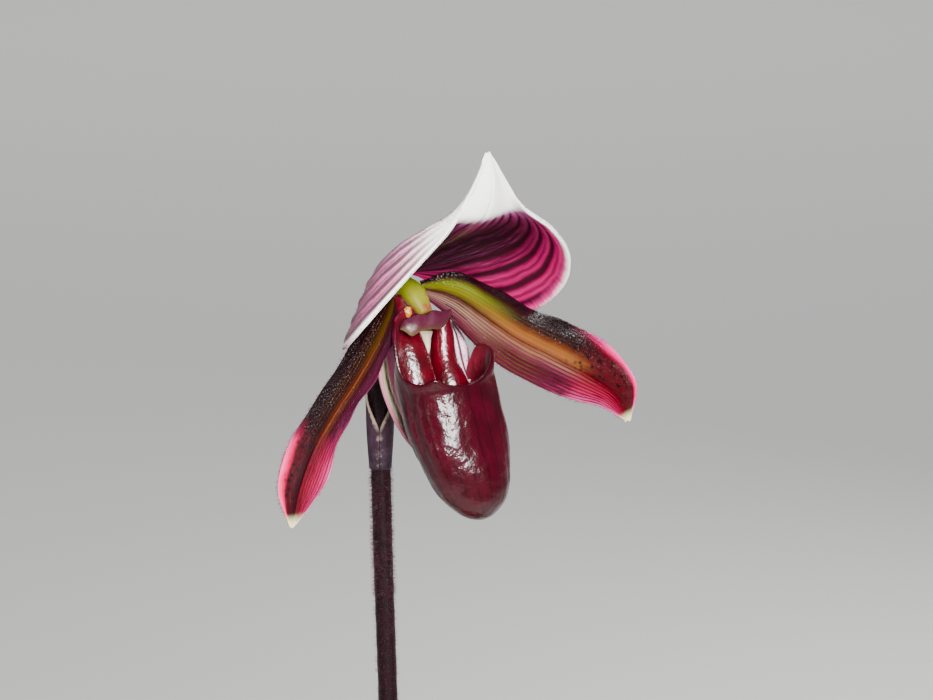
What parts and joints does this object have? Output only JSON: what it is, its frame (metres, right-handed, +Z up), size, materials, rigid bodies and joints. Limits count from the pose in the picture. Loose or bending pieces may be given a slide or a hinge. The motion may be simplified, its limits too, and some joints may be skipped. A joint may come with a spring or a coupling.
{
  "type": "potted slipper orchid",
  "caption": "Slipper orchid in flower: hooded striped sepal, drooping petals and a glossy pouch on a hairy stalk above mottled strap leaves, rooted in bark in a plain clay pot.",
  "frame": {"origin": "centre of the pot's flat underside, on the surface it stands on", "axes": "+Z up the plant; +X to the right and +Y away, as seen from the front"},
  "size_m": [0.2588, 0.12, 0.3519],
  "materials": {
    "pot_clay": "unglazed fired clay, matt, faint lime bloom",
    "bark": "chipped fir bark, matt, fibrous",
    "root": "fleshy root, felted",
    "leaf": "waxy leaf, mottled dark and pale green",
    "stalk": "dark maroon, covered with short pale hairs",
    "bract": "purple-grey sheath with pale margins, hairy",
    "sepal": "white with magenta and maroon veins, satin",
    "petal": "maroon with green and pink stripes, satin",
    "synsepal": "pale green with purple stripes, satin",
    "pouch": "deep burgundy, wet gloss",
    "column": "yellow-green, waxy",
    "staminode": "mauve with green veins, satin",
    "anther": "ochre, waxy"
  },
  "bodies": {
    "root": {"pot": "pot_clay", "growing_medium": "bark", "rootstock": "root", "leaf_1": "leaf", "leaf_2": "leaf", "leaf_3": "leaf", "leaf_4": "leaf", "leaf_5": "leaf", "leaf_6": "leaf", "scape": "stalk", "ovary": "stalk", "bract": "bract", "dorsal_sepal": "sepal", "petal_left": "petal", "petal_right": "petal", "synsepal": "synsepal", "pouch": "pouch", "column": "column", "staminode": "staminode", "anther_left": "anther", "anther_right": "anther"}
  },
  "joints": []
}
